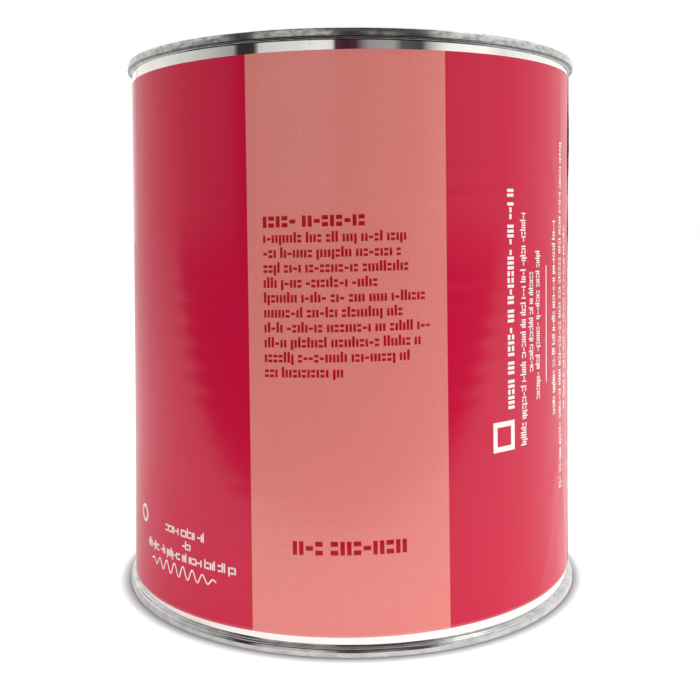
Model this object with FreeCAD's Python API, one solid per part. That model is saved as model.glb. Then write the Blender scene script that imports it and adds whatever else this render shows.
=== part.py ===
import FreeCAD, Part
import math
import os

from FreeCAD import Vector

# A catering-size food can, shut: a tinplate body with two pressed ends rolled on,
# and a paper label glued round it. Millimetres, +Z up. The origin is on the axis,
# in the plane the can stands on. -Y is the side with the label's printed panel.
#
# Every piece is turned about the axis, so each is drawn as half a section: radii
# along X and heights along Z.

# ---- Driving dimensions ----------------------------------------------------------

can_height = 177.8          # crown of the lower seam to crown of the upper one
wall_radius = 76.85         # outside of the body's plate next to a seam
body_plate = 0.21           # its thickness, between the chuck wall and the roll

seam_overhang = 1.75        # how far the roll stands out from the wall
seam_height = 3.0           # the roll, from its crown to its foot
crown_rounding = 0.6        # both edges of the crown; the can rests on what is between
foot_rounding = 0.9         # the roll's outer edge at its foot

flare_reach = 0.2           # how far the wall turns out under a seam
flare_height = 0.4
waist_depth = 0.25          # how far the wall is drawn in at mid height

bead_depth = 0.45           # the wall's stiffening grooves, under the label
bead_width = 4.6
bead_pitch = 6.9
middle_beads = 6            # grooves in the group at mid height
outer_beads = 4             # grooves in the groups above and below it
outer_group_offset = 52.4   # from mid height to the middle of an outer group

end_plate = 0.3             # thickness of both ends
panel_depth = 3.0           # an end's flat panel, below the crown
countersink_depth = 4.8     # the gutter round the panel, below the crown
countersink_width = 2.6     # floor of the gutter
gutter_wall_lean = 0.8      # run of the gutter's inner wall
chuck_wall_lean = 0.8       # run of the gutter's outer wall, up to the crown
end_bend = 0.7              # bend radius of all of the end's corners
ring_count = 3              # expansion rings pressed into the panel
ring_margin = 8.7           # from the panel's edge to the outermost ring's middle
ring_spacing = 13.0
ring_rise = 0.9             # the rings' height over the panel
ring_foot = 4.4             # and their width at the panel
ring_top = 1.6              # and at the top

paper = 0.15                # the label with its glue
lower_band = 2.2            # bare metal from each seam's foot to the label, measured
upper_band = 2.8            # on the middle of the printed panel
label_lean = 0.7            # degrees; it was wrapped slightly crooked, high to +X
lap_angle = 78.0            # degrees from -Y towards +X to the label's outer end
lap_width = 10.0            # how far that end overlaps the inner one
label_sectors = 12          # the sleeve is joined from this many equal sectors

# ---- Values worked out from them -------------------------------------------------

seam_radius = wall_radius + seam_overhang
chuck_slope = chuck_wall_lean / countersink_depth
chuck_setback = end_plate * math.sqrt(1 + chuck_slope ** 2)
seam_inner = wall_radius - body_plate - chuck_setback + chuck_slope * seam_height
gutter_outer = seam_inner - chuck_wall_lean
gutter_inner = gutter_outer - countersink_width
panel_radius = gutter_inner - gutter_wall_lean

label_bottom = seam_height + lower_band
label_top = can_height - seam_height - upper_band

mid_height = can_height / 2
wall_bottom = seam_height + flare_height
wall_top = can_height - wall_bottom
waist_curve = waist_depth / (mid_height - wall_bottom) ** 2


def waist_radius(height):
    """Radius of the drawn-in wall: a parabola, waist_depth deep at mid height."""
    return wall_radius - waist_depth + waist_curve * (height - mid_height) ** 2


# ---- Drawing helpers -------------------------------------------------------------

def at(radius, height):
    """A point of a half section."""
    return Vector(radius, 0, height)


def line(start, end):
    return Part.makeLine(start, end)


def arc(start, middle, end):
    return Part.Arc(start, middle, end).toShape()


def rounded_line(corners):
    """Edges along a list of (radius, height, rounding): straight runs, with an arc
    tangent to both runs at each corner that has a rounding."""
    points = [at(radius, height) for radius, height, rounding in corners]
    edges = []
    start = points[0]
    for index in range(1, len(points) - 1):
        corner = points[index]
        rounding = corners[index][2]
        back = (points[index - 1] - corner).normalize()
        ahead = (points[index + 1] - corner).normalize()
        if rounding == 0:
            edges.append(line(start, corner))
            start = corner
            continue
        half_opening = back.getAngle(ahead) / 2
        trim = rounding / math.tan(half_opening)
        reach = rounding / math.sin(half_opening) - rounding
        middle = corner + (back + ahead).normalize() * reach
        edges.append(line(start, corner + back * trim))
        edges.append(arc(corner + back * trim, middle, corner + ahead * trim))
        start = corner + ahead * trim
    edges.append(line(start, points[-1]))
    return edges


def turn(edges, degrees=360):
    """The solid that a closed half section sweeps about the axis."""
    face = Part.Face(Part.Wire(Part.__sortEdges__(edges)))
    solid = face.revolve(Vector(0, 0, 0), Vector(0, 0, 1), degrees)
    if solid.Volume < 0:
        solid.reverse()
    return solid


# ---- The ends' pressed line ------------------------------------------------------
# Depths are measured from the crown into the can, the same for both ends.

def end_outside():
    """Corners (radius, depth, rounding) of an end's outer side, from the axis to the
    seam's inner edge: panel with its expansion rings, gutter, chuck wall."""
    corners = [(0, panel_depth, 0)]
    for index in reversed(range(ring_count)):
        radius = panel_radius - ring_margin - index * ring_spacing
        corners.append((radius - ring_foot / 2, panel_depth, end_bend))
        corners.append((radius - ring_top / 2, panel_depth - ring_rise, end_bend))
        corners.append((radius + ring_top / 2, panel_depth - ring_rise, end_bend))
        corners.append((radius + ring_foot / 2, panel_depth, end_bend))
    corners.append((panel_radius, panel_depth, end_bend))
    corners.append((gutter_inner, countersink_depth, end_bend))
    corners.append((gutter_outer, countersink_depth, end_bend))
    corners.append((seam_inner, 0, crown_rounding))
    return corners


def end_underside():
    """Corners of the plate's other side, one end_plate away, from the axis to the
    seam's foot: each run is moved square to itself, and neighbours meet again."""
    outside = end_outside()
    runs = []
    for near, far in zip(outside, outside[1:]):
        along = Vector(far[0] - near[0], far[1] - near[1], 0).normalize()
        shift = Vector(-along.y, along.x, 0) * end_plate
        runs.append((Vector(near[0], near[1], 0) + shift, along))
    corners = [(0, panel_depth + end_plate, 0)]
    for (start, along), (next_start, next_along) in zip(runs, runs[1:]):
        between = next_start - start
        crossing = along.x * next_along.y - along.y * next_along.x
        reach = (between.x * next_along.y - between.y * next_along.x) / crossing
        meeting = start + along * reach
        corners.append((meeting.x, meeting.y, end_bend))
    start, along = runs[-1]
    foot = start + along * ((seam_height - start.y) / along.y)
    corners.append((foot.x, foot.y, 0))
    return corners


def placed(corners, upper):
    """The corners with their depths turned into heights at the upper or lower end."""
    if upper:
        return [(radius, can_height - depth, rounding) for radius, depth, rounding in corners]
    return corners


# ---- The pieces ------------------------------------------------------------------

def make_end(upper):
    """One pressed end with its half of the double seam: a plate of even thickness
    that rises from the gutter into the roll, whose foot sits on the flared wall."""
    corners = end_outside()
    corners.append((seam_radius, 0, crown_rounding))
    corners.append((seam_radius, seam_height, foot_rounding))
    corners.extend(reversed(end_underside()))
    corners = placed(corners, upper)
    edges = rounded_line(corners)
    edges.append(line(at(*corners[-1][:2]), at(*corners[0][:2])))
    return turn(edges)


def bead_heights():
    """Middle heights of the grooves, from the lowest up."""
    groups = (
        (mid_height - outer_group_offset, outer_beads),
        (mid_height, middle_beads),
        (mid_height + outer_group_offset, outer_beads),
    )
    heights = []
    for centre, count in groups:
        for index in range(count):
            heights.append(centre + (index - (count - 1) / 2) * bead_pitch)
    return heights


def wall_run(low, high, outset=0.0):
    """The drawn-in wall between two heights, moved out by outset. A Bezier curve is
    the parabola itself when its middle pole is where the two end tangents meet."""
    meeting = wall_radius - waist_depth
    meeting += waist_curve * (low - mid_height) * (high - mid_height)
    curve = Part.BezierCurve()
    curve.setPoles([
        at(waist_radius(low) + outset, low),
        at(meeting + outset, (low + high) / 2),
        at(waist_radius(high) + outset, high),
    ])
    return curve.toShape()


def make_body():
    """The body with its contents, as one solid: the beaded wall, flared under both
    seams, and closed by the undersides of the two ends."""
    edges = []
    height = wall_bottom
    for bead in bead_heights():
        low = bead - bead_width / 2
        high = bead + bead_width / 2
        edges.append(wall_run(height, low))
        groove = at(waist_radius(bead) - bead_depth, bead)
        edges.append(arc(at(waist_radius(low), low), groove, at(waist_radius(high), high)))
        height = high
    edges.append(wall_run(height, wall_top))

    underside = end_underside()
    flare = (wall_radius + flare_reach, seam_height, 0)
    wall_start = (wall_radius, wall_bottom, 0)
    for upper in (False, True):
        corners = placed(underside + [flare, wall_start], upper)
        edges.extend(rounded_line(corners))
    edges.append(line(at(0, underside[0][1]), at(0, can_height - underside[0][1])))
    return turn(edges)


def label_strip(inner, outer, start, degrees):
    """A turned strip of the label between two offsets from the wall, from the angle
    start on, taller than the label by the lean, so that its edges can be cut."""
    spare = seam_radius * math.tan(math.radians(label_lean))
    low = label_bottom - spare
    high = label_top + spare
    strip = turn([
        wall_run(low, high, inner),
        wall_run(low, high, outer),
        line(at(waist_radius(low) + inner, low), at(waist_radius(low) + outer, low)),
        line(at(waist_radius(high) + inner, high), at(waist_radius(high) + outer, high)),
    ], degrees)
    strip.rotate(Vector(0, 0, 0), Vector(0, 0, 1), start - 90)
    return strip


def label_slab():
    """The leaning slab of space between the label's two edges."""
    side = 4 * seam_radius
    slab = Part.makeBox(side, side, label_top - label_bottom)
    slab.translate(Vector(-side / 2, -side / 2, label_bottom))
    slab.rotate(Vector(0, 0, mid_height), Vector(0, 1, 0), -label_lean)
    return slab


def make_label():
    """The paper: a sleeve on the wall, with a second thickness where its ends lap. The
    sleeve's equal sectors make its two thin-walled sides divide into matching facets."""
    sector = 360 / label_sectors
    lap = math.degrees(lap_width / wall_radius)
    strips = [label_strip(paper, 2 * paper, lap_angle, lap)]
    for index in range(label_sectors):
        strips.append(label_strip(0, paper, lap_angle + index * sector, sector))
    return strips[0].multiFuse(strips[1:]).common(label_slab())


# ---- The files -------------------------------------------------------------------

def main():
    os.makedirs("parts", exist_ok=True)
    pieces = {
        "can_body": make_body(),
        "top_end": make_end(upper=True),
        "bottom_end": make_end(upper=False),
        "paper_label": make_label(),
    }
    for name, piece in pieces.items():
        solids = piece.Solids
        box = piece.BoundBox
        print(name, "solids", len(solids), "valid", piece.isValid(),
              "volume %.1f" % piece.Volume,
              "x %.2f..%.2f z %.2f..%.2f" % (box.XMin, box.XMax, box.ZMin, box.ZMax))
        solids[0].exportStep("parts/%s.step" % name)


main()
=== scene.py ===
# %% [markdown]
# # A shut catering can, finished in Blender
#
# The frame brings in four CAD solids at their real size: the can's body, its two pressed ends
# and its paper label. CAD meshes are facets, and a can is all gloss, where facets show. So each
# solid is replaced by a surface of nearly the same size, worked out on a fine grid, and then gets
# its finish. Every size is in metres and every shape stands where the CAD has it.

# %% Load the frame
import math

import bpy
import numpy as np
from mathutils import Matrix, Vector


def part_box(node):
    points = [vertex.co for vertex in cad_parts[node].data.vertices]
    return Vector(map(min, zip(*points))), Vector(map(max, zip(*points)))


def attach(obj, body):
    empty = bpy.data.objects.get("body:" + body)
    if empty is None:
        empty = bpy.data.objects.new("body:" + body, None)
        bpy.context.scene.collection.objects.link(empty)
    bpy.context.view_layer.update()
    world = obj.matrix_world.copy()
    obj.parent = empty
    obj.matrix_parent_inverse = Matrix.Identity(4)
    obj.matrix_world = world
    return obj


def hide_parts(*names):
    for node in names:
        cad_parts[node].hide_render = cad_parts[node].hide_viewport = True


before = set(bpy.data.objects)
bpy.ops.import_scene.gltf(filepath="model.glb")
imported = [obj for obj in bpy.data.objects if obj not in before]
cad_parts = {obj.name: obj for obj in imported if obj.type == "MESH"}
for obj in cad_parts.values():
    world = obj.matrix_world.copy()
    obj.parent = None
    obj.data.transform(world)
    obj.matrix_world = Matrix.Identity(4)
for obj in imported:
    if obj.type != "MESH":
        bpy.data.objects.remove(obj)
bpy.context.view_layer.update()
MM = 0.001

SEAM_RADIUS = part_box("top_end")[1].x
CAN_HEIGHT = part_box("top_end")[1].z
MID_HEIGHT = CAN_HEIGHT / 2
print("can", round(2 * SEAM_RADIUS / MM, 2), "mm wide and", round(CAN_HEIGHT / MM, 2), "mm tall")

# %% [markdown]
# ## The camera
#
# A camera that tips down makes a can's sides lean together. A view camera stays nearly level and
# shifts its lens down instead, and Blender's camera has the same shift. It stands a little above
# the can's middle, and it comes first, because every later choice is judged through it.

# %% Set up the camera
CAMERA_DISTANCE = 0.342     # from the can's axis, towards the front
CAMERA_HEIGHT = 0.1228
CAMERA_TILT = 0.022         # radians below level
CAMERA_TURN = 0.0007        # radians to the left
CAMERA_ROLL = -0.0037
SENSOR = 36.0
FOCAL_WIDTHS = 1.3437       # focal length, in widths of the view
LENS_SHIFT = -0.15          # in widths of the view
NEAREST = 0.01              # nothing closer to the lens is shown

lens = bpy.data.cameras.new("camera")
lens.sensor_width = SENSOR
lens.lens = SENSOR * FOCAL_WIDTHS
lens.shift_y = LENS_SHIFT
lens.clip_start = NEAREST
camera = bpy.data.objects.new("camera", lens)
turn = Matrix.Rotation(CAMERA_TURN, 4, "Z")
tip = Matrix.Rotation(math.pi / 2 - CAMERA_TILT, 4, "X")
roll = Matrix.Rotation(CAMERA_ROLL, 4, "Z")
camera.matrix_world = Matrix.Translation((0, -CAMERA_DISTANCE, CAMERA_HEIGHT)) @ turn @ tip @ roll
bpy.context.scene.collection.objects.link(camera)
bpy.context.scene.camera = camera
bpy.context.scene.view_settings.view_transform = "Standard"
print("lens", round(lens.lens, 1), "mm")

# %% [markdown]
# ## Turned surfaces
#
# A can is turned sheet metal: a line in half section, swept round the axis. The line is a list of
# corners, each with the bend radius the press leaves. It could be a curve with a Spin or Screw
# modifier, but a grid worked out with numpy lets the roll waver a little from true, as a real
# seam does, and its poles can be closed to one vertex each.

# %% Helpers for turned surfaces
def bent_line(corners, arc_steps=7, longest=1.5 * MM):
    """Points (radius, height) along straight runs joined by arcs. At a corner, the arc's centre is
    one rounding from both runs, and its points turn evenly from one run's normal to the next's.
    Runs are cut into steps no longer than longest."""
    stops = np.array([corner[:2] for corner in corners])
    path = [stops[:1]]
    for index in range(1, len(corners) - 1):
        corner = stops[index]
        rounding = corners[index][2]
        back = stops[index - 1] - corner
        ahead = stops[index + 1] - corner
        back = back / np.linalg.norm(back)
        ahead = ahead / np.linalg.norm(ahead)
        half = math.acos(np.clip(back @ ahead, -1, 1)) / 2
        if rounding == 0:
            path.append(corner[None, :])
            continue
        middle = (back + ahead) / np.linalg.norm(back + ahead)
        centre = corner + middle * rounding / math.sin(half)
        swing = np.linspace(-1, 1, arc_steps)[:, None] * (math.pi / 2 - half)
        side = (ahead - back) / np.linalg.norm(ahead - back)
        path.append(centre + rounding * (side * np.sin(swing) - middle * np.cos(swing)))
    path.append(stops[-1:])
    rough = np.concatenate(path)
    gaps = np.linalg.norm(np.diff(rough, axis=0), axis=1)
    pieces = np.maximum(np.ceil(gaps / longest).astype(int), 1)
    starts = np.repeat(np.arange(len(gaps)), pieces)
    parts = np.concatenate([np.arange(count) / count for count in pieces])[:, None]
    fine = rough[starts] * (1 - parts) + rough[starts + 1] * parts
    return np.concatenate([fine, rough[-1:]])


def signed_volume(points, faces):
    """Sum over the faces of their cone to the origin: positive when faces point outwards."""
    corner = points[faces]
    cones = np.einsum("ij,ij->i", corner[:, 0], np.cross(corner[:, 1], corner[:, 2]))
    if faces.shape[1] == 4:
        cones = cones + np.einsum("ij,ij->i", corner[:, 0], np.cross(corner[:, 2], corner[:, 3]))
    return cones.sum() / 6


def add_piece(name, points, face_lists, material):
    """A smooth mesh object at the origin, linked, with one material."""
    mesh = bpy.data.meshes.new(name)
    faces = [face for faces in face_lists for face in faces.tolist()]
    mesh.from_pydata(points.tolist(), [], faces)
    mesh.polygons.foreach_set("use_smooth", np.full(len(mesh.polygons), True))
    mesh.materials.append(material)
    mesh.update()
    piece = bpy.data.objects.new(name, mesh)
    bpy.context.scene.collection.objects.link(piece)
    return piece


def turned(name, path, material, columns, waver=None):
    """The path turned about the axis: x = r sin a, y = -r cos a, with a from the front towards +X.
    waver(a, r, z) returns the changed r and z. The path starts and ends on the axis, where each
    end is one vertex with a fan of triangles."""
    angle = np.linspace(0, 2 * math.pi, columns, endpoint=False)[None, :]
    radius = path[1:-1, 0][:, None] + 0 * angle
    height = path[1:-1, 1][:, None] + 0 * angle
    if waver is not None:
        radius, height = waver(angle, radius, height)
    ring = np.stack([radius * np.sin(angle), -radius * np.cos(angle), height], axis=-1)
    poles = np.array([[0, 0, path[0, 1]], [0, 0, path[-1, 1]]])
    points = np.concatenate([ring.reshape(-1, 3), poles])
    rows = len(path) - 2
    index = np.arange(rows * columns).reshape(rows, columns)
    after = np.roll(index, -1, axis=1)
    quads = np.stack([index[:-1], index[1:], after[1:], after[:-1]], axis=-1).reshape(-1, 4)
    first = np.full(columns, rows * columns)
    fans = np.concatenate([
        np.stack([first, index[0], after[0]], axis=-1),
        np.stack([first + 1, after[-1], index[-1]], axis=-1),
    ])
    volume = signed_volume(points, quads) + signed_volume(points, fans)
    if volume < 0:
        quads = quads[:, ::-1]
        fans = fans[:, ::-1]
    print(name, "holds", round(abs(volume) / MM ** 3 / 1000, 1), "ml in", len(quads), "quads")
    return add_piece(name, points, [quads, fans], material)

# %% [markdown]
# ## Tinplate
#
# Tinplate is steel with a skin of tin: a bright, slightly warm mirror, dulled by the fine lines of
# the rolling mill. The mirror is a metallic surface, and the lines are noise stretched along the
# way the plate was rolled, which roughens and tilts it. Softer noise clouds it where hands and
# cartons have rubbed. A roller has pressed the seams harder, so they are duller and darker, and
# the upper one has a dark line painted under its foot: painted shade of the gap there.

# %% Materials of the metal
def node(tree, kind, **settings):
    """A new node with its settings; a setting named after an input sets that input's value."""
    made = tree.nodes.new(kind)
    for key, value in settings.items():
        if hasattr(made, key):
            setattr(made, key, value)
        else:
            made.inputs[key.replace("_", " ")].default_value = value
    return made


def new_material(name):
    """An empty node material with its Principled shader."""
    material = bpy.data.materials.new(name)
    material.use_nodes = True
    tree = material.node_tree
    shader = tree.nodes["Principled BSDF"]
    return material, tree, shader


def scaled_position(tree, scale):
    """Object position times a scale along each axis, for noise that is stretched."""
    place = node(tree, "ShaderNodeTexCoord")
    mapping = node(tree, "ShaderNodeMapping", Scale=scale)
    tree.links.new(place.outputs["Object"], mapping.inputs["Vector"])
    return mapping.outputs["Vector"]


def noise(tree, scale, detail=2.0):
    """Noise in object space: about one blotch for each 1/scale metres along each axis."""
    made = node(tree, "ShaderNodeTexNoise", Scale=1.0, Detail=detail, Roughness=0.5)
    tree.links.new(scaled_position(tree, scale), made.inputs["Vector"])
    return made.outputs["Fac"]


def ranged(tree, value, low, high, to_low, to_high):
    """The value's stretch from low to high, moved to run from to_low to to_high."""
    made = node(tree, "ShaderNodeMapRange")
    made.inputs["From Min"].default_value = low
    made.inputs["From Max"].default_value = high
    made.inputs["To Min"].default_value = to_low
    made.inputs["To Max"].default_value = to_high
    tree.links.new(value, made.inputs["Value"])
    return made.outputs["Result"]


def blended(tree, factor, first, second):
    """A colour between two, each a socket or a plain colour."""
    made = node(tree, "ShaderNodeMix", data_type="RGBA")
    for value, slot in ((factor, 0), (first, 6), (second, 7)):
        if isinstance(value, bpy.types.NodeSocket):
            tree.links.new(value, made.inputs[slot])
        else:
            made.inputs[slot].default_value = value
    return made.outputs[2]


def sums(tree, operation, first, second):
    """A Math node on two values, each a socket or a number."""
    made = node(tree, "ShaderNodeMath", operation=operation)
    for value, slot in ((first, 0), (second, 1)):
        if isinstance(value, bpy.types.NodeSocket):
            tree.links.new(value, made.inputs[slot])
        else:
            made.inputs[slot].default_value = value
    return made.outputs[0]


def grey(level, warmth=0.0):
    """A grey with a touch of warmth."""
    return (level, level * (1 - warmth), level * (1 - 2.2 * warmth), 1.0)


def from_axis(tree):
    """How far a point is from the can's axis, in metres."""
    length = node(tree, "ShaderNodeVectorMath", operation="LENGTH")
    tree.links.new(scaled_position(tree, (1, 1, 0)), length.inputs[0])
    return length.outputs["Value"]


MILL_TIN = grey(0.64, 0.005)
MILL_GRAIN = (22, 1300, 22)
MILL_CLOUDS = 0.12            # how much of the clouds is left where no roller has been
MILL_FADE = 0.5 * MM
SEAM_ZONE = 3.0 * MM          # how far in from its outside an end is marked by the rollers
SPECKS = 0.15                 # how dark its specks are
FOOT_SHADE = 0.88                # how much of the plate's colour the painted shade hides at the upper seam's foot
FOOT_SHADE_LINE = 2.15 * MM      # how far below the upper crown the painted shade starts
FOOT_SHADE_FADE = 0.45 * MM
FOOT_SHADE_INNER = 1.6 * MM      # further in from the seam's outside than this there is none of it
FOOT_SHADE_OUTER = 1.2 * MM      # nearer the outside than this it is whole
SEAM_GRAIN = (60, 60, 1800)
LINE_BUMP = 0.25
LINE_DEPTH = 0.02 * MM


def tinplate(name, bright, dull, roughness, streaks, grain_scale, cloud_scale,
             clear_within=0.0, painted_shade_below=0.0):
    """Bright plate clouded with dull by noise of cloud_scale, with rolling lines whose noise has
    grain_scale. Nearer the axis than clear_within the plate is as it left the mill: pale, with
    few clouds and with its rolling lines along X. Below the height given last, if any, the outside
    of a seam is painted dark, as painted shade of the gap under its foot."""
    material, tree, shader = new_material(name)
    link = tree.links.new
    clouds = ranged(tree, noise(tree, cloud_scale, 3.0), 0.42, 0.66, 0.0, 1.0)
    lines = noise(tree, grain_scale)
    if clear_within:
        worked = ranged(tree, from_axis(tree), clear_within - MILL_FADE, clear_within, 0.0, 1.0)
        clear = sums(tree, "SUBTRACT", 1.0, worked)
        clouds = sums(tree, "MULTIPLY", clouds, sums(tree, "MAXIMUM", worked, MILL_CLOUDS))
        sheet_lines = sums(tree, "MULTIPLY", noise(tree, MILL_GRAIN), clear)
        lines = sums(tree, "ADD", sums(tree, "MULTIPLY", lines, worked), sheet_lines)
        bright = blended(tree, worked, MILL_TIN, bright)
    specks = ranged(tree, noise(tree, (900, 900, 900), 1.0), 0.70, 0.76, 0.0, 1.0)
    streaked = sums(tree, "MULTIPLY", lines, streaks)
    colour = blended(tree, clouds, bright, dull)
    colour = blended(tree, sums(tree, "MULTIPLY", specks, SPECKS), colour, grey(0.12))
    # painted shade: a dark band on the seam's outside under its foot, where the gap's shade falls
    if painted_shade_below:
        split = node(tree, "ShaderNodeSeparateXYZ")
        link(scaled_position(tree, (1, 1, 1)), split.inputs["Vector"])
        foot_shade = ranged(tree, split.outputs["Z"], painted_shade_below - FOOT_SHADE_FADE, painted_shade_below,
                         FOOT_SHADE, 0.0)
        outside = ranged(tree, from_axis(tree), SEAM_RADIUS - FOOT_SHADE_INNER,
                         SEAM_RADIUS - FOOT_SHADE_OUTER, 0.0, 1.0)
        colour = blended(tree, sums(tree, "MULTIPLY", foot_shade, outside), colour, grey(0.02))
    link(colour, shader.inputs["Base Color"])
    shader.inputs["Metallic"].default_value = 1.0
    rough = ranged(tree, sums(tree, "ADD", clouds, streaked), 0.2, 1.6, roughness[0], roughness[1])
    link(rough, shader.inputs["Roughness"])
    bump = node(tree, "ShaderNodeBump", Strength=LINE_BUMP, Distance=LINE_DEPTH)
    link(lines, bump.inputs["Height"])
    link(bump.outputs["Normal"], shader.inputs["Normal"])
    return material


wall_tin = tinplate("wall_tin", grey(0.95, 0.014), grey(0.87, 0.014), (0.02, 0.08), 1.0,
                    (40, 40, 2500), (55, 55, 90))
lower_tin = tinplate("lower_tin", grey(0.60, -0.01), grey(0.47, -0.02), (0.08, 0.20), 1.2,
                     SEAM_GRAIN, (260, 260, 500), SEAM_RADIUS - SEAM_ZONE)
# the upper seam's plate, with painted shade under its foot
upper_tin = tinplate("upper_tin", grey(0.60, -0.005), grey(0.36, -0.02), (0.10, 0.26), 1.2,
                     SEAM_GRAIN, (420, 420, 900), SEAM_RADIUS - SEAM_ZONE,
                     CAN_HEIGHT - FOOT_SHADE_LINE)
weld_tin = tinplate("weld_tin", grey(0.26, -0.03), grey(0.12), (0.25, 0.45), 1.0,
                    (60, 60, 900), (90, 90, 300))
print("metals:", wall_tin.name, lower_tin.name, upper_tin.name, weld_tin.name)

# %% [markdown]
# ## The ends
#
# Each end is pressed from one disc: a flat panel with expansion rings, a gutter round it, a chuck
# wall up the can's side and the curl that is rolled over the body's edge into the double seam.
# Its line is close to the CAD's. The seams are a little shorter, their outer sides are bowed a
# little and their feet rounded, as the roller's groove leaves them. The can maker rolls one end on
# and the packer the other, each with their own rollers, so the two seams differ: the lower one is
# the shorter and leans in more towards its foot, which shows as a dark line. The foot also wavers
# by up to about a tenth of a millimetre on its way round.

# %% Make the two ends
END_PLATE = 0.3 * MM
SEAM_HEIGHT = 2.8 * MM
SEAM_THICKNESS = 1.76 * MM
LOWER_HEIGHT = 2.5 * MM
# each roll: lean at the crown, the share of its height up to where its side bends, that bend,
# and lean and bend at the foot
LOWER_ROLL = (0.03 * MM, 0.56, 0.7 * MM, 0.36 * MM, 0.75 * MM)
UPPER_ROLL = (0.07 * MM, 0.45, 2.2 * MM, 0.09 * MM, 0.60 * MM)
PANEL_DEPTH = 3.0 * MM
GUTTER_DEPTH = 4.8 * MM
GUTTER_WIDTH = 2.6 * MM
WALL_LEAN = 0.8 * MM
BEND = 0.7 * MM
CROWN_BEND = 0.45 * MM
RING_MARGIN = 8.7 * MM
RING_SPACING = 13.0 * MM
RING_RISE = 0.9 * MM
RING_FOOT = 4.4 * MM
RING_TOP = 1.6 * MM
RING_COUNT = 3
COLUMNS = 288

seam_inner = SEAM_RADIUS - SEAM_THICKNESS
gutter_outer = seam_inner - WALL_LEAN
gutter_inner = gutter_outer - GUTTER_WIDTH
panel_radius = gutter_inner - WALL_LEAN


def end_corners(height, crown_lean, turn_share, turn_bend, foot_lean, foot_bend):
    """Corners (radius, depth below the crown, bend) of an end's whole section: along its outer
    side, over the seam, and back along its underside, which is one plate further in."""
    panel = []
    for index in reversed(range(RING_COUNT)):
        ring = panel_radius - RING_MARGIN - index * RING_SPACING
        panel.append((ring - RING_FOOT / 2, PANEL_DEPTH, BEND))
        panel.append((ring - RING_TOP / 2, PANEL_DEPTH - RING_RISE, BEND))
        panel.append((ring + RING_TOP / 2, PANEL_DEPTH - RING_RISE, BEND))
        panel.append((ring + RING_FOOT / 2, PANEL_DEPTH, BEND))
    under = [(radius, depth + END_PLATE, bend) for radius, depth, bend in panel]
    return [
        (0, PANEL_DEPTH, 0),
        *panel,
        (panel_radius, PANEL_DEPTH, BEND),
        (gutter_inner, GUTTER_DEPTH, BEND),
        (gutter_outer, GUTTER_DEPTH, BEND),
        (seam_inner, 0, CROWN_BEND),
        (SEAM_RADIUS - crown_lean, 0, CROWN_BEND),
        (SEAM_RADIUS, turn_share * height, turn_bend),
        (SEAM_RADIUS - foot_lean, height, foot_bend),
        (gutter_outer + 2 * END_PLATE, height, 0),
        (gutter_outer + END_PLATE, GUTTER_DEPTH + END_PLATE, BEND),
        (gutter_inner - END_PLATE, GUTTER_DEPTH + END_PLATE, BEND),
        (panel_radius - END_PLATE, PANEL_DEPTH + END_PLATE, BEND),
        *reversed(under),
        (0, PANEL_DEPTH + END_PLATE, 0),
    ]


def seam_waver(foot_height, seed):
    """A waver for the seam: its foot droops by slow waves and its outside breathes a little."""
    phases = np.random.default_rng(seed).uniform(0, 2 * math.pi, 6)

    def waver(angle, radius, height):
        """Sums of sines round the can, fading from the foot to the crown and to the chuck wall."""
        outside = np.clip((radius - seam_inner) / SEAM_THICKNESS, 0, 1)
        nearness = np.clip(1 - np.abs(height - foot_height) / SEAM_HEIGHT, 0, 1) * outside
        droop = 0.05 * np.sin(3 * angle + phases[0]) + 0.04 * np.sin(7 * angle + phases[1])
        droop = droop + 0.02 * np.sin(19 * angle + phases[2])
        breath = 0.04 * np.sin(5 * angle + phases[3]) + 0.02 * np.sin(23 * angle + phases[4])
        way = np.sign(foot_height - MID_HEIGHT)
        return radius - np.abs(breath) * MM * outside, height - way * droop * MM * nearness

    return waver


lower_line = bent_line(end_corners(LOWER_HEIGHT, *LOWER_ROLL))
lower_end = turned("lower_end", lower_line, lower_tin, COLUMNS, seam_waver(LOWER_HEIGHT, 3))
upper_line = bent_line(end_corners(SEAM_HEIGHT, *UPPER_ROLL)) * (1, -1) + (0, CAN_HEIGHT)
upper_waver = seam_waver(CAN_HEIGHT - SEAM_HEIGHT, 8)
upper_end = turned("upper_end", upper_line, upper_tin, COLUMNS, upper_waver)

for end, cad_node in ((upper_end, "top_end"), (lower_end, "bottom_end")):
    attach(end, "root")
    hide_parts(cad_node)

# %% [markdown]
# ## The body
#
# Under the label the body's wall is drawn in a little and ribbed with grooves in three groups,
# which keep a large can from crushing. Only two narrow bands of it show, next to the seams. A
# welded side seam runs up the back: a dark strip laid on the wall, seen as a line in each band.

# %% Make the wall
SEAM_OVERHANG = 1.75 * MM
WALL_RADIUS = SEAM_RADIUS - SEAM_OVERHANG
WAIST_DEPTH = 0.25 * MM
GROOVE_DEPTH = 0.45 * MM
GROOVE_WIDTH = 4.6 * MM
GROOVE_PITCH = 6.9 * MM
GROUPS = ((-52.4 * MM, 4), (0.0, 6), (52.4 * MM, 4))   # how far from mid height, and how many
WALL_STEP = 0.8 * MM
WALL_COLUMNS = 256


def waist(height):
    """How far the wall is drawn in: a parabola, WAIST_DEPTH deep at mid height."""
    reach = (height - MID_HEIGHT) / (MID_HEIGHT - SEAM_HEIGHT)
    return WAIST_DEPTH * np.clip(1 - reach ** 2, 0, 1)


def groove_heights():
    """Middle heights of the grooves, group by group."""
    rows = [MID_HEIGHT + offset + (np.arange(count) - (count - 1) / 2) * GROOVE_PITCH
            for offset, count in GROUPS]
    return np.concatenate(rows)


def grooves(height):
    """Depth of the grooves, 0 to 1: a raised cosine across each one's width."""
    off = np.abs(height[..., None] - groove_heights()) / (GROOVE_WIDTH / 2)
    return (0.5 + 0.5 * np.cos(math.pi * np.clip(off, 0, 1))).max(axis=-1)


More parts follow.
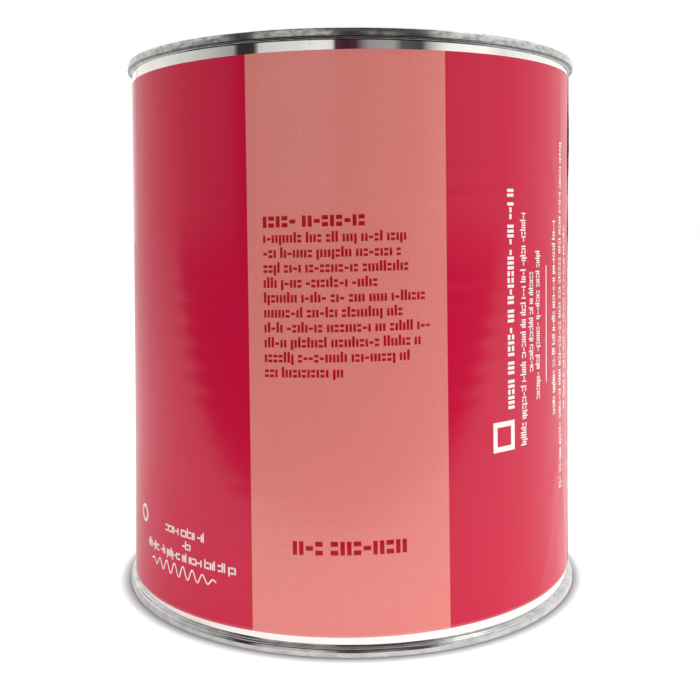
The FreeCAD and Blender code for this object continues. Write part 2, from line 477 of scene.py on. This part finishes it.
def wall_line():
    """The body's closed line: its wall, which starts SEAM_HEIGHT from either end of the can, and
    two discs hidden by the ends. The lower seam is shorter than SEAM_HEIGHT, so a gap of the
    difference is left over its foot."""
    heights = np.arange(SEAM_HEIGHT + WALL_STEP / 2, MID_HEIGHT, WALL_STEP)
    heights = np.concatenate([heights, CAN_HEIGHT - heights[::-1]])
    radii = WALL_RADIUS - waist(heights) - GROOVE_DEPTH * grooves(heights)
    tuck = gutter_outer + 2.1 * END_PLATE
    inside = GUTTER_DEPTH + 2 * END_PLATE
    foot = [(0, inside), (tuck, inside), (tuck, SEAM_HEIGHT), (WALL_RADIUS, SEAM_HEIGHT)]
    foot = np.array(foot)
    upper = foot[::-1] * (1, -1) + (0, CAN_HEIGHT)
    return np.concatenate([foot, np.stack([radii, heights], axis=-1), upper])


wall = turned("can_wall", wall_line(), wall_tin, WALL_COLUMNS)
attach(wall, "root")
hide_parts("can_body")

# %% Weld the side seam
WELD_ANGLE = math.radians(152)
WELD_WIDTH = 1.1 * MM
WELD_LIFT = 0.03 * MM
WELD_COLUMNS = 5
WELD_ROWS = 220


def sheet_faces(rows, columns, offset=0):
    """Quads of a grid whose rows run up the can and whose columns run towards +X at the front,
    ordered to face outwards."""
    index = np.arange(rows * columns).reshape(rows, columns) + offset
    quads = [index[:-1, :-1], index[:-1, 1:], index[1:, 1:], index[1:, :-1]]
    return np.stack(quads, axis=-1).reshape(-1, 4)


def thicken(piece, thickness, rim_material=None):
    """Gives a laid sheet its thickness, towards the can. Normals weighted by area keep its face
    shaded flat up to the cut edge."""
    shell = piece.modifiers.new("thickness", "SOLIDIFY")
    shell.thickness = thickness
    shell.offset = -1.0
    if rim_material is not None:
        piece.data.materials.append(rim_material)
        shell.material_offset = 1
        shell.material_offset_rim = 1
    shading = piece.modifiers.new("shading", "WEIGHTED_NORMAL")
    shading.weight = 100


weld_angles = WELD_ANGLE + np.linspace(-0.5, 0.5, WELD_COLUMNS) * WELD_WIDTH / WALL_RADIUS
weld_heights = np.linspace(SEAM_HEIGHT, CAN_HEIGHT - SEAM_HEIGHT, WELD_ROWS)
angle, height = np.meshgrid(weld_angles, weld_heights)
radius = WALL_RADIUS - waist(height) - GROOVE_DEPTH * grooves(height) + WELD_LIFT
weld_points = np.stack([radius * np.sin(angle), -radius * np.cos(angle), height], axis=-1)
weld = add_piece("side_weld", weld_points.reshape(-1, 3), [sheet_faces(*angle.shape)], weld_tin)
thicken(weld, 2 * WELD_LIFT)
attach(weld, "root")
print("side_weld", round(WELD_WIDTH / MM, 2), "mm wide at",
      round(math.degrees(WELD_ANGLE)), "degrees")

# %% [markdown]
# ## The label's sheet
#
# The label is one strip of coated paper, wrapped round the wall and glued where its ends lap. It
# went on slightly crooked, so its own directions, u along the strip and v up it, lean against
# the can's. Everything printed is placed in u and v and goes through one function, on_label,
# which wraps it, so the print follows every ripple of the paper. Paper bridges the grooves but
# sinks a little between them, and it buckles where the glue has let go, near the lap.

# %% Wrap the sheet
PAPER = 0.12 * MM
LABEL_RADIUS = WALL_RADIUS + 0.15 * MM
LABEL_BOTTOM = 5.2 * MM
LABEL_TOP = CAN_HEIGHT - 5.8 * MM
SHEET_LEAN = 0.0095          # how far u leans for each unit of height
EDGE_RISE = 1.1 * MM
LAP_ANGLE = math.radians(75)
LAP_WIDTH = 10 * MM
LAP_EASE = 6 * MM            # how far past the lap the paper takes to settle on the wall
LAP_STEP = 1.2 * PAPER
GROOVE_SAG = 0.05 * MM
FLAP_LIFT = 0.34 * MM
FLAP_REACH = 5 * MM
# each loose place of the lap's edge: height of its middle, half length, share of FLAP_LIFT
FLAPS = ((0.150, 0.013, 1.0), (0.121, 0.006, 0.5))

# each buckle: angle and height of its middle, degrees and millimetres; half width and half
# length in millimetres; how far its axis leans from upright, degrees; its height
BUCKLES = (
    (62.0, 148.0, 2.2, 17.0, 4.0, 0.20),
    (57.5, 138.0, 2.6, 12.0, -18.0, 0.14),
    (67.5, 132.0, 2.0, 15.0, 2.0, -0.07),
    (55.0, 104.0, 3.5, 22.0, 6.0, 0.07),
    (64.0, 84.0, 2.5, 13.0, -12.0, 0.14),
    (69.0, 66.0, 2.2, 16.0, 8.0, -0.06),
    (60.0, 44.0, 2.6, 12.0, 24.0, 0.16),
    (66.0, 30.0, 2.2, 15.0, -10.0, 0.20),
    (52.0, 14.0, 2.4, 9.0, 34.0, 0.12),
    (58.0, 20.0, 2.2, 10.0, 20.0, -0.06),
    (-47.0, 74.0, 6.0, 10.0, 30.0, 0.05),
    (160.0, 120.0, 3.0, 20.0, -8.0, 0.12),
    (-150.0, 60.0, 3.0, 18.0, 10.0, 0.10),
    (110.0, 40.0, 3.0, 16.0, -6.0, 0.12),
    (-100.0, 132.0, 3.2, 20.0, 5.0, 0.09),
)


def smooth_step(value, low, high):
    """0 below low, 1 above high, and a smooth cubic between."""
    share = np.clip((value - low) / (high - low), 0, 1)
    return share * share * (3 - 2 * share)


def buckled(angle, height):
    """Sum of the buckles: a bell across and a bell along each one's leaning axis."""
    total = np.zeros(np.broadcast(angle, height).shape)
    wrapped = (angle + math.pi) % (2 * math.pi) - math.pi
    for at_angle, at_height, half_width, half_length, lean, rise in BUCKLES:
        across = (wrapped - math.radians(at_angle)) * LABEL_RADIUS / MM
        along = height / MM - at_height
        slope = math.radians(lean)
        over = across * math.cos(slope) - along * math.sin(slope)
        up = across * math.sin(slope) + along * math.cos(slope)
        total += rise * np.exp(-(over / half_width) ** 2 - (up / half_length) ** 2)
    return total * MM


def label_radius(angle, height, u):
    """Radius of the paper's outer side: the waisted wall plus the paper, less the sag between
    grooves, plus the buckles, plus the lap: near its outer end, at the least u, the sheet rides
    over the inner end, and its edge lifts where the glue has let go."""
    grip = 0.55 + 0.45 * np.sin(2.3 * angle + 0.8) + 0.9 * np.exp(-((angle + 0.75) / 0.3) ** 2)
    sag = GROOVE_SAG * grooves(height) * grip
    from_end = u - SHEET_START
    over = 1 - smooth_step(from_end, LAP_WIDTH, LAP_WIDTH + LAP_EASE)
    bell = sum(share * np.exp(-((height - middle) / spread) ** 2) for middle, spread, share in FLAPS)
    lift = FLAP_LIFT * bell * np.exp(-from_end / FLAP_REACH)
    paper_line = LABEL_RADIUS - waist(height) - sag + buckled(angle, height)
    return paper_line + LAP_STEP * over + lift


def on_label(u, v, lift=0.0):
    """Points of the sheet's u and v wrapped on the can: the height is v plus the edges' slow
    rise, the angle is u less the lean, over the label's radius."""
    height = v + EDGE_RISE * np.sin(0.75 * u / LABEL_RADIUS)
    angle = (u - SHEET_LEAN * (height - MID_HEIGHT)) / LABEL_RADIUS
    radius = label_radius(angle, height, u) + lift
    return np.stack([radius * np.sin(angle), -radius * np.cos(angle), height], axis=-1)


SHEET_START = (LAP_ANGLE - 2 * math.pi) * LABEL_RADIUS
SHEET_END = LAP_ANGLE * LABEL_RADIUS + LAP_WIDTH
print("sheet", round((SHEET_END - SHEET_START) / MM, 1), "mm long and",
      round((LABEL_TOP - LABEL_BOTTOM) / MM, 1), "mm tall")

# %% [markdown]
# ## Paper and ink
#
# The label is coated paper with a varnish: deep red, with a pink panel that is the same ink in
# fine dots. The colour fields are plain arithmetic on the sheet's own u and v, which the mesh
# carries as its UV map, so the panel's edges stay sharp at any distance. The varnish is a coat
# over a softer base, with a faint unevenness like orange peel.

# %% Materials of the label
PANEL_MIDDLE = -0.9 * MM
PANEL_WIDTH = 58.9 * MM
BACK_WIDTH = 1.7 * PANEL_WIDTH
LOWER_EDGE_PALING = 0.9 * MM         # how far up from the lower edge the colour pales towards the paper's white
RED = (0.55, 0.003, 0.042, 1.0)
PINK = (0.74, 0.232, 0.205, 1.0)
INK_RED = (0.42, 0.002, 0.010, 1.0)
PAPER_WHITE = (0.86, 0.84, 0.82, 1.0)
COAT_WEIGHT = 0.70
INK_COAT = 0.25              # the red ink's own coat, duller than the sheet's
GLOSS = 0.17
PEEL = 0.12
PEEL_DEPTH = 0.02 * MM
PEEL_GRAIN = (420, 420, 420)
PAPER_GRAIN = (1500, 1500, 1500)


def varnish(tree, shader, weight=COAT_WEIGHT):
    """A varnished paper's gloss: a clear coat over a dull base, with a little orange peel."""
    shader.inputs["Roughness"].default_value = 0.6
    shader.inputs["Specular IOR Level"].default_value = 0.0
    shader.inputs["Coat Weight"].default_value = weight
    shader.inputs["Coat Roughness"].default_value = GLOSS
    peel = noise(tree, PEEL_GRAIN)
    bump = node(tree, "ShaderNodeBump", Strength=PEEL, Distance=PEEL_DEPTH)
    tree.links.new(peel, bump.inputs["Height"])
    tree.links.new(bump.outputs["Normal"], shader.inputs["Normal"])


def between(tree, value, middle, width):
    """1 where the value is within half the width of the middle, else 0."""
    off = sums(tree, "ABSOLUTE", sums(tree, "SUBTRACT", value, middle), 0.0)
    return sums(tree, "LESS_THAN", off, width / 2)


def label_material():
    """Red everywhere but on two pink panels, one at the front and one at the back."""
    material, tree, shader = new_material("label_paper")
    link = tree.links.new
    sheet = node(tree, "ShaderNodeUVMap", uv_map="sheet")
    split = node(tree, "ShaderNodeSeparateXYZ")
    link(sheet.outputs["UV"], split.inputs["Vector"])
    along = split.outputs["X"]
    front = between(tree, along, PANEL_MIDDLE, PANEL_WIDTH)
    half_turn = math.pi * LABEL_RADIUS
    back = between(tree, along, PANEL_MIDDLE - half_turn, BACK_WIDTH)
    panel = sums(tree, "MAXIMUM", front, back)
    grain = noise(tree, PAPER_GRAIN, 1.0)
    drift = noise(tree, (28, 28, 28))
    dots = ranged(tree, grain, 0.3, 0.7, -0.05, 0.05)
    slow = ranged(tree, drift, 0.35, 0.65, -0.02, 0.02)
    shade = sums(tree, "ADD", dots, slow)
    pink = blended(tree, sums(tree, "ADD", shade, 0.05), PINK, RED)
    red = blended(tree, sums(tree, "MULTIPLY", grain, 0.02), RED, PINK)
    printed = blended(tree, panel, red, pink)
    # paler towards the lower edge: the colour is mixed a little with the paper's white there
    paling = ranged(tree, split.outputs["Y"], LABEL_BOTTOM, LABEL_BOTTOM + LOWER_EDGE_PALING, 0.15, 0.0)
    link(blended(tree, paling, printed, PAPER_WHITE), shader.inputs["Base Color"])
    varnish(tree, shader)
    return material


def ink(name, colour, grain_depth, gloss=COAT_WEIGHT):
    """A flat printed colour with the paper's grain showing through."""
    material, tree, shader = new_material(name)
    grain = noise(tree, PAPER_GRAIN, 1.0)
    faded = tuple(0.5 * channel + 0.5 * paper for channel, paper in zip(colour, PAPER_WHITE))
    depth = ranged(tree, grain, 0.35, 0.75, 0.0, grain_depth)
    tree.links.new(blended(tree, depth, colour, faded), shader.inputs["Base Color"])
    varnish(tree, shader, gloss)
    return material


label_paper = label_material()
red_ink = ink("red_ink", INK_RED, 0.02, INK_COAT)
bare_paper = ink("bare_paper", PAPER_WHITE, 0.05)

cut_edge, cut_tree, cut_shader = new_material("cut_edge")
fibre = ranged(cut_tree, noise(cut_tree, (2500, 2500, 2500)), 0.3, 0.7, 0.0, 1.0)
cut_colour = blended(cut_tree, fibre, grey(0.80, 0.01), grey(0.66, 0.02))
cut_tree.links.new(cut_colour, cut_shader.inputs["Base Color"])
cut_shader.inputs["Roughness"].default_value = 0.8

# %% Lay the sheet
SHEET_COLUMNS = 330
SHEET_ROWS = 130


def carry_uv(piece, u, v):
    """Stores u and v of every vertex as the UV map named sheet."""
    layer = piece.data.uv_layers.new(name="sheet")
    corner = np.empty(len(piece.data.loops), dtype=int)
    piece.data.loops.foreach_get("vertex_index", corner)
    layer.data.foreach_set("uv", np.stack([u, v], axis=-1)[corner].ravel())


u_grid, v_grid = np.meshgrid(np.linspace(SHEET_START, SHEET_END, SHEET_COLUMNS),
                             np.linspace(LABEL_BOTTOM, LABEL_TOP, SHEET_ROWS))
label = add_piece("label_sheet", on_label(u_grid, v_grid).reshape(-1, 3),
                  [sheet_faces(SHEET_ROWS, SHEET_COLUMNS)], label_paper)
carry_uv(label, u_grid.ravel(), v_grid.ravel())
thicken(label, PAPER, cut_edge)
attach(label, "root")
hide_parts("paper_label")

# %% [markdown]
# ## The print
#
# Text on a package becomes plain marks here: each line is a row of small bars and dashes with
# gaps for the words, as wide and as close as lines of type, which is how a layout shows type
# that isn't written yet. A shape is a patch, a small grid in u and v. All the patches in one ink
# are laid on the sheet as one piece, a few hundredths of a millimetre thick, so the print is real
# geometry and keeps its sharp edges.

# %% Helpers for print
INK = 0.03 * MM
CELL = 2.0 * MM
JOINED = 0.002 * MM          # vertices closer than this are one
MARK_SPACE = 0.52            # between two marks, as a share of a bar's thickness
WORD_SPACE = 0.42            # between two words, as a share of the marks' height


def block(left, bottom, right, top):
    """A rectangle as a patch, cut into cells small enough to follow the paper."""
    columns = 1 + max(1, math.ceil((right - left) / CELL))
    rows = 1 + max(1, math.ceil((top - bottom) / CELL))
    return np.meshgrid(np.linspace(left, right, columns), np.linspace(bottom, top, rows))


def ring_patch(u, v, inner, outer, steps=40, rings=2, squash=1.0):
    """A flat ring round a point: angle round it by radii from outer to inner, with its height
    squashed to an oval. Its ends meet and are merged."""
    radii = np.linspace(outer, inner, rings)
    turn_by, radius = np.meshgrid(np.linspace(0, 2 * math.pi, steps + 1), radii)
    return u + radius * np.cos(turn_by), v + squash * radius * np.sin(turn_by)


def stroke_patch(u, v, width):
    """A line of even width through points: each point moved half a width to either side."""
    along = np.stack([np.gradient(u), np.gradient(v)])
    along = along / np.linalg.norm(along, axis=0)
    side = np.array([[-0.5], [0.5]]) * width
    return u - side * along[1], v + side * along[0]


def mark(kind, x, size, weight):
    """One plain mark of a line of dummy type, at x on a base line at 0: its blocks and its
    width. size is the height of the marks and weight the thickness of a bar."""
    wide = 0.55 * size
    if kind == "bar":
        return [block(x, 0, x + weight, size)], weight
    if kind == "tall":
        return [block(x, 0, x + weight, 1.36 * size)], weight
    if kind == "low":
        return [block(x, -0.32 * size, x + weight, size)], weight
    if kind == "pair":
        rows = [block(x, base, x + wide, base + 1.1 * weight) for base in (0, size - 1.1 * weight)]
        return rows, wide
    return [block(x, 0.5 * (size - weight), x + wide, 0.5 * (size + weight))], wide


MARKS = ("bar", "tall", "low", "pair", "dash")
CHANCES = (0.46, 0.15, 0.06, 0.22, 0.11)
EVEN_CHANCES = (0.62, 0.0, 0.0, 0.26, 0.12)   # for a line whose marks are all of one height


def dummy_type(length, size, weight, rng, even=False):
    """A line of dummy type as blocks from x = 0 to about length: words of 3 to 11 marks."""
    chances = EVEN_CHANCES if even else CHANCES
    blocks = []
    x = 0.0
    while x < length - size:
        for _ in range(rng.integers(3, 12)):
            made, width = mark(rng.choice(MARKS, p=chances), x, size, weight)
            if x + width > length:
                break
            blocks.extend(made)
            x += width + MARK_SPACE * weight
        x += WORD_SPACE * size
    return blocks


def moved(patches, u, v, upward=False):
    """The patches moved to u, v, or first turned a quarter so that their line reads upwards."""
    if upward:
        return [(u - y, v + x) for x, y in patches]
    return [(u + x, v + y) for x, y in patches]


def print_piece(name, patches, material):
    """Lays the patches on the sheet as one thin piece."""
    points = []
    faces = []
    count = 0
    for u, v in patches:
        rows, columns = u.shape
        points.append(on_label(u, v, INK).reshape(-1, 3))
        faces.append(sheet_faces(rows, columns, count))
        count += rows * columns
    piece = add_piece(name, np.concatenate(points), faces, material)
    joining = piece.modifiers.new("joined ends", "WELD")
    joining.merge_threshold = JOINED
    thicken(piece, 2 * INK)
    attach(piece, "root")
    print(name, len(patches), "patches,", count, "vertices")

# %% [markdown]
# ## What is printed
#
# The panel has a heading, a paragraph of ten ragged lines and one larger line near its foot. To
# its left is a small block of centred lines with a ring and a wavy stroke. To its right, lines
# run up the can, the first of them bold, from a plain square badge. The back repeats the same
# parts in another layout, round a plain oval.

# %% Print the front
PRINT_RISE = 0.010           # the lines run up to the right, as the label was laid a little askew
MARGIN = 5.0 * MM
HEADING_HEIGHT = 122.4 * MM
PARAGRAPH = (43.5, 41.0, 45.0, 35.0, 49.5, 42.5, 49.0, 47.0, 42.5, 24.0)   # lengths of lines
PARAGRAPH_TOP = 118.0
LINE_STEP = 4.27
FOOT_LINE = (-17.6 * MM, 28.8 * MM)

rng = np.random.default_rng(21)
left_margin = PANEL_MIDDLE - PANEL_WIDTH / 2 + MARGIN
panel_print = moved(dummy_type(32 * MM, 3.2 * MM, 1.12 * MM, rng, even=True),
                    left_margin, HEADING_HEIGHT)
for index, length in enumerate(PARAGRAPH):
    line = dummy_type(length * MM, 2.2 * MM, 0.72 * MM, rng)
    panel_print += moved(line, left_margin, (PARAGRAPH_TOP - LINE_STEP * index) * MM)
panel_print += moved(dummy_type(33 * MM, 3.9 * MM, 1.25 * MM, rng, even=True), *FOOT_LINE)
panel_print = [(u, v + PRINT_RISE * u) for u, v in panel_print]
print_piece("panel_print", panel_print, red_ink)

# each centred line: its middle along the sheet, its length, its height and its marks' height
LEFT_LINES = (
    (-56.8, 19.5, 28.2, 2.2),
    (-55.5, 4.0, 24.5, 1.9),
    (-57.2, 43.0, 20.6, 2.1),
)
side_print = []
for middle, length, height, size in LEFT_LINES:
    line = dummy_type(length * MM, size * MM, 0.50 * MM, rng)
    side_print += moved(line, (middle - length / 2) * MM, height * MM)
along = np.linspace(0, 1, 90)
wave_u = (-76.0 + 33.0 * along) * MM
wave_v = (17.2 + 1.9 * np.sin(2 * math.pi * 7.5 * along) * np.sin(math.pi * along) ** 0.5) * MM
side_print.append(stroke_patch(wave_u, wave_v, 0.45 * MM))
side_print.append(ring_patch(-82.5 * MM, 30.0 * MM, 1.9 * MM, 2.9 * MM))

# each line that runs up the can: its base along the sheet, the height it starts at, its length,
# its marks' height, a bar's thickness, and whether its marks are all of one height
COLUMN_LINES = (
    (53.6, 66.5, 67.0, 2.8, 0.95, True),
    (59.3, 54.5, 74.0, 2.0, 0.48, False),
    (63.3, 76.5, 31.5, 1.8, 0.42, False),
    (67.2, 67.5, 49.0, 1.9, 0.45, False),
    (79.0, 60.5, 62.5, 2.0, 0.50, False),
    (85.2, 35.5, 113.0, 2.3, 0.60, True),
    (91.0, 60.5, 61.5, 1.9, 0.50, False),
)
for base, start, length, size, weight, even in COLUMN_LINES:
    line = dummy_type(length * MM, size * MM, weight * MM, rng, even)
    side_print += moved(line, base * MM, start * MM, upward=True)
side_print.append(block(71.4 * MM, 72.0 * MM, 71.9 * MM, 109.0 * MM))


def square_frame(u, v, half, bar):
    """A square frame round a point, as four blocks: half is half its side, bar its thickness."""
    blocks = []
    for way in (-1, 1):
        middle = v + way * (half - bar / 2)
        blocks.append(block(u - half, middle - bar / 2, u + half, middle + bar / 2))
        middle = u + way * (half - bar / 2)
        blocks.append(block(middle - bar / 2, v - half + bar, middle + bar / 2, v + half - bar))
    return blocks


side_print += square_frame(49.0 * MM, 58.6 * MM, 4.5 * MM, 1.6 * MM)
print_piece("side_print", side_print, bare_paper)

# %% Print the back
back_middle = PANEL_MIDDLE - math.pi * LABEL_RADIUS
OVAL_HEIGHT = 98.0 * MM
OVAL_SQUASH = 0.58
OVAL_RIM = (39.6 * MM, 41.0 * MM)    # inner and outer radius along the sheet
OVAL_FIELD = (0.1 * MM, 38.0 * MM)
OVAL_STEPS = 96

# each centred line: its length, its height, its marks' height, a bar's thickness, and whether
# its marks are all of one height
BACK_LINES = (
    (74.0, 134.0, 6.2, 1.9, True),
    (52.0, 60.0, 4.2, 1.3, True),
    (58.0, 49.0, 2.2, 0.64, False),
    (55.0, 44.7, 2.2, 0.64, False),
    (59.0, 40.4, 2.2, 0.64, False),
    (41.0, 36.1, 2.2, 0.64, False),
)
back_print = [ring_patch(back_middle, OVAL_HEIGHT, *OVAL_RIM, OVAL_STEPS, 2, OVAL_SQUASH)]
for length, height, size, weight, even in BACK_LINES:
    line = dummy_type(length * MM, size * MM, weight * MM, rng, even)
    back_print += moved(line, back_middle - length / 2 * MM, height * MM)
print_piece("back_print", back_print, red_ink)

back_marks = [ring_patch(back_middle, OVAL_HEIGHT, *OVAL_FIELD, OVAL_STEPS, 20, OVAL_SQUASH)]
# each upright line: how far it is from the back's middle, where it starts, its length
BACK_COLUMNS = ((-60.0, 40.0, 96.0), (-65.0, 52.0, 70.0), (62.0, 40.0, 96.0))
for across, start, length in BACK_COLUMNS:
    line = dummy_type(length * MM, 2.3 * MM, 0.55 * MM, rng)
    back_marks += moved(line, back_middle + across * MM, start * MM, upward=True)
print_piece("back_marks", back_marks, bare_paper)

# %% [markdown]
# ## The room
#
# The can stands on a white sweep in a white room. The metal and the varnish show what stands
# round them, so the room is painted in the world's shader, by direction: bright walls with dark
# gaps at eye height, a second band above them, and a ceiling that is bright behind the can and
# dark over its front, where nothing hangs. The camera itself sees plain white.

# %% Paint the room
# the room at eye height: degrees from the front towards +X, how bright it is, how red
ROOM = (
    (-180, 1.45, 0), (-158, 1.35, 0), (-151, 1.25, 0), (-146, 0.80, 0), (-141, 0.96, 0),
    (-112, 0.83, 0), (-84, 0.60, 0), (-66, 0.44, 0), (-59, 0.36, 0), (-57, 0.03, 0),
    (-47, 0.03, 0), (-45, 0.62, 0), (-14, 0.86, 0), (-8.5, 0.80, 0), (-7.5, 0.08, 0.6),
    (-2, 0.05, 0.7), (3, 0.07, 0.6), (9, 0.32, 0.1), (21, 0.34, 0), (25, 0.10, 0), (35, 0.06, 0),
    (39, 0.42, 0), (44, 0.72, 0), (49, 1.00, 0), (70, 1.05, 0), (81, 0.85, 0), (92, 1.00, 0),
    (180, 1.20, 0),
)
# and above the walls' top
HIGH_ROOM = (
    (-180, 1.20, 0), (-110, 1.15, 0), (-68, 0.95, 0), (-64, 0.04, 0), (-48, 0.03, 0),
    (-45, 0.75, 0), (-14, 0.68, 0), (-8, 0.12, 0), (36, 0.12, 0), (44, 0.95, 0), (90, 1.30, 0),
    (180, 1.20, 0),
)
# the sines of the elevations between which each band gives way to the next
WALL_TOP = (0.24, 0.32)
CEILING_EDGE = (0.46, 0.58)
CEILING_TOWARDS = (0.15, 0.90, 0.40)
CEILING = (-0.10, 0.60, 0.04, 1.10)  # from and to along that way; how bright at both
LAMP_TOWARDS = (0.66, -0.16, 0.73)
LAMP_EDGE = (0.972, 0.985)           # the cosines of the angles from its middle where it fades
LAMP_BRIGHTNESS = 3.5


def wall_paint(tree, share, levels):
    """A ramp round the room: share runs from 0 at the back by the left and the front to 1."""
    ramp = node(tree, "ShaderNodeValToRGB")
    tree.links.new(share, ramp.inputs["Fac"])
    stops = ramp.color_ramp.elements
    while len(stops) < len(levels):
        stops.new(0.5)
    for stop, (degrees, level, redness) in zip(stops, levels):
        stop.position = (degrees + 180) / 360
        stop.color = (level, level * (0.985 - redness), level * (0.95 - 0.7 * redness), 1.0)
    return ramp.outputs["Color"]


def facing(tree, way, towards):
    """The dot product of two directions: 1 where they agree."""
    made = node(tree, "ShaderNodeVectorMath", operation="DOT_PRODUCT")
    tree.links.new(way, made.inputs[0])
    made.inputs[1].default_value = towards
    return made.outputs["Value"]


def room_light():
    """The world: two bands of greys by direction round the can, a ceiling that brightens one
    way, and a lamp high on the right."""
    world = bpy.data.worlds.new("room")
    bpy.context.scene.world = world
    world.use_nodes = True
    tree = world.node_tree
    place = node(tree, "ShaderNodeTexCoord")
    way = place.outputs["Generated"]
    split = node(tree, "ShaderNodeSeparateXYZ")
    tree.links.new(way, split.inputs["Vector"])
    ahead = sums(tree, "MULTIPLY", split.outputs["Y"], -1.0)
    azimuth = sums(tree, "ARCTAN2", split.outputs["X"], ahead)
    share = ranged(tree, azimuth, -math.pi, math.pi, 0.0, 1.0)
    above_walls = ranged(tree, split.outputs["Z"], *WALL_TOP, 0.0, 1.0)
    overhead = ranged(tree, split.outputs["Z"], *CEILING_EDGE, 0.0, 1.0)
    lit = ranged(tree, facing(tree, way, LAMP_TOWARDS), *LAMP_EDGE, 0.0, 1.0)
    ceiling = ranged(tree, facing(tree, way, CEILING_TOWARDS), *CEILING)
    room = blended(tree, above_walls, wall_paint(tree, share, ROOM),
                   wall_paint(tree, share, HIGH_ROOM))
    room = blended(tree, overhead, room, ceiling)
    room = blended(tree, lit, room, grey(LAMP_BRIGHTNESS))
    seen = node(tree, "ShaderNodeLightPath")
    bright = blended(tree, seen.outputs["Is Camera Ray"], room, (1.0, 1.0, 1.0, 1.0))
    tree.links.new(bright, tree.nodes["Background"].inputs["Color"])


room_light()
print("room:", len(ROOM), "greys at eye height and", len(HIGH_ROOM), "above")

# %% [markdown]
# ## The lamps
#
# Two large soft lamps light the paper and the ink. A mirror-like can would show each as a hard
# white square, which a studio would flag off with black card. Here the lamps are simply hidden
# from reflections, so the room above is all that the gloss shows.

# %% Hang the lamps
LAMP_SIZE = 0.7


def soft_lamp(name, place, power):
    """A square lamp aimed at the can's middle and left out of every reflection."""
    light = bpy.data.lights.new(name, "AREA")
    light.size = LAMP_SIZE
    light.energy = power
    lamp = bpy.data.objects.new(name, light)
    lamp.visible_glossy = False
    lamp.visible_camera = False
    aim = (Vector((0, 0, MID_HEIGHT)) - Vector(place)).to_track_quat("-Z", "Y")
    lamp.matrix_world = Matrix.Translation(place) @ aim.to_matrix().to_4x4()
    bpy.context.scene.collection.objects.link(lamp)
    print(name, power, "W")


soft_lamp("front_lamp", (-0.335, -0.825, 0.645), 5.3)
soft_lamp("right_lamp", (0.68, -0.17, 0.82), 5.4)

# %% [markdown]
# ## The floor
#
# The floor is pale and plain white to the camera, but for a soft shade close round the can's
# foot. What the varnish and the metal show of it ends in front of the can, where the sweep ends
# and the dark room begins.

# %% Lay the floor
FLOOR_SIZE = 12.0
SWEEP_EDGE = (-0.130, -0.162)        # a point of the sweep's front edge
SWEEP_NORMAL = (-0.15, -0.989, 0.0)  # the way from that edge into the dark room
SWEEP_FADE = (-0.015, 0.030)         # where the dark starts and is full, past that edge
SHADE_REACH = 4.0 * MM               # how far the shade round the foot runs out
SHADE_DEPTH = 0.24                   # what it leaves of the floor's white at the foot
GLOW = (0.25, 0.75)                  # the floor's own light in reflections, and to the camera
SEEN_SHARE = 0.55                    # how much of the floor's paint counts to the camera


def lay_floor():
    """A large pale plane with its shade, its dark front and its glow."""
    half = FLOOR_SIZE / 2
    corners = np.array([(-half, -half, 0), (half, -half, 0), (half, half, 0), (-half, half, 0)])
    material, tree, shader = new_material("sweep")
    link = tree.links.new
    place = node(tree, "ShaderNodeTexCoord")
    beyond = facing(tree, place.outputs["Object"], SWEEP_NORMAL)
    edge = SWEEP_EDGE[0] * SWEEP_NORMAL[0] + SWEEP_EDGE[1] * SWEEP_NORMAL[1]
    seen = node(tree, "ShaderNodeLightPath").outputs["Is Camera Ray"]
    unseen = sums(tree, "SUBTRACT", 1.0, seen)
    past_edge = ranged(tree, beyond, edge + SWEEP_FADE[0], edge + SWEEP_FADE[1], 0.0, 1.0)
    dark = sums(tree, "MULTIPLY", past_edge, unseen)
    reach = ranged(tree, from_axis(tree), SEAM_RADIUS, SEAM_RADIUS + SHADE_REACH,
                   SHADE_DEPTH, 1.0)
    shade = sums(tree, "MAXIMUM", reach, unseen)
    mottle = ranged(tree, noise(tree, (9, 9, 9)), 0.3, 0.7, 0.78, 0.80)
    paint = sums(tree, "MULTIPLY", shade, ranged(tree, seen, 0.0, 1.0, 1.0, SEEN_SHARE))
    pale = sums(tree, "MULTIPLY", mottle, paint)
    link(blended(tree, dark, pale, grey(0.02)), shader.inputs["Base Color"])
    glow = sums(tree, "MULTIPLY", ranged(tree, seen, 0.0, 1.0, *GLOW), shade)
    link(sums(tree, "MULTIPLY", glow, sums(tree, "SUBTRACT", 1.0, dark)),
         shader.inputs["Emission Strength"])
    shader.inputs["Roughness"].default_value = 0.9
    shader.inputs["Specular IOR Level"].default_value = 0.1
    shader.inputs["Emission Color"].default_value = (1.0, 1.0, 1.0, 1.0)
    floor = add_piece("sweep", corners, [np.array([[0, 1, 2, 3]])], material)


lay_floor()
print("floor", FLOOR_SIZE, "m wide")
